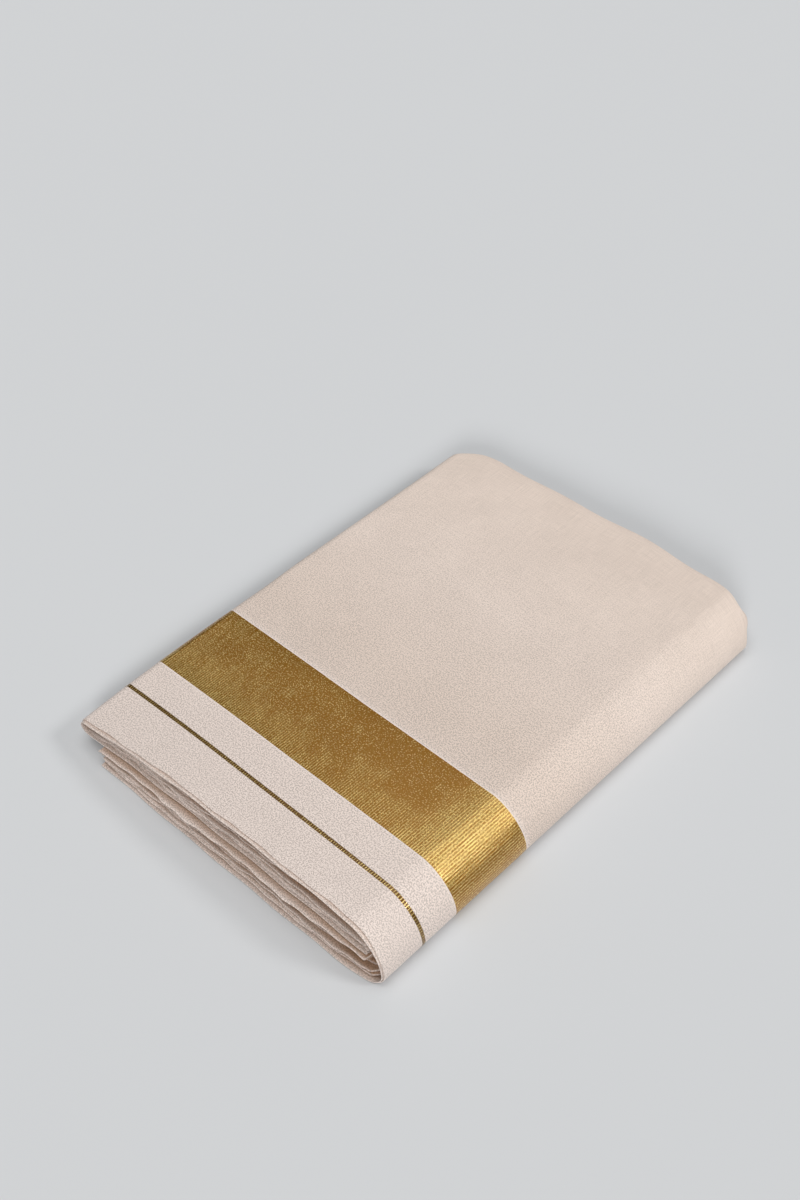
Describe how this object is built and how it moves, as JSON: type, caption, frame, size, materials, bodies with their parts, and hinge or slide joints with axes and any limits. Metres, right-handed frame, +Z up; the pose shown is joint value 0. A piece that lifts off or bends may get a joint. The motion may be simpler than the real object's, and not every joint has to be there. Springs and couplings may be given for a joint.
{
  "type": "dhoti cloth",
  "caption": "White cotton dhoti with a wide woven gold band and a thin gold line near its selvedge, folded into a flat rectangular packet.",
  "frame": {"origin": "middle of the packet's footprint, on the surface that it lies on", "axes": "+X from the side of the small folds to the large round fold, +Y from the selvedges to the far folds, +Z up from the surface"},
  "size_m": [0.2312, 0.3248, 0.0352],
  "materials": {
    "cotton_cloth": "plain weave fine cotton, softly calendered",
    "zari_weave": "ribbed weave of metallic gold thread"
  },
  "bodies": {
    "root": {"selvedge_strip": "cotton_cloth", "thin_zari_line": "zari_weave", "plain_strip": "cotton_cloth", "wide_zari_band": "zari_weave", "plain_body": "cotton_cloth", "inner_leaves": "cotton_cloth"}
  },
  "joints": []
}
